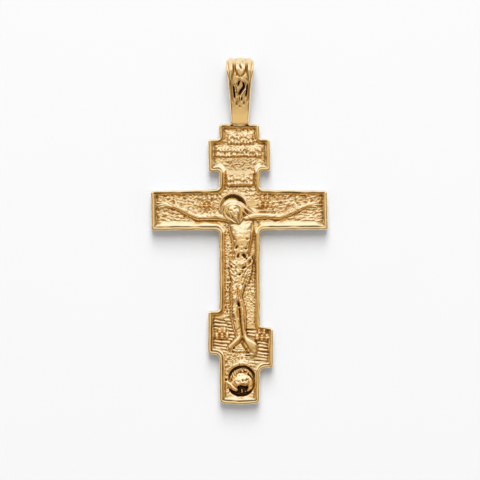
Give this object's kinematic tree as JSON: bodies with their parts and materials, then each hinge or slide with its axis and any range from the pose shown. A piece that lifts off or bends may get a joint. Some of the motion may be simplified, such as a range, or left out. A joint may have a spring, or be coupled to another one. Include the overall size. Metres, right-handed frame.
{
  "type": "cross pendant",
  "caption": "Cast orthodox cross pendant with a raised rim, a relief crucifix and a fixed tapered bail for a chain.",
  "frame": {"origin": "on the surface the pendant lies on, under the middle of its overall length and width", "axes": "+Y along the length towards the bail, +Z out of the relief face, +X to the right as the relief is read"},
  "size_m": [0.0256, 0.05, 0.0047],
  "materials": {
    "gilt": "gold-plated, polished on the high points and darker in the recesses"
  },
  "bodies": {
    "root": {"cross_pendant": "gilt"}
  },
  "joints": []
}
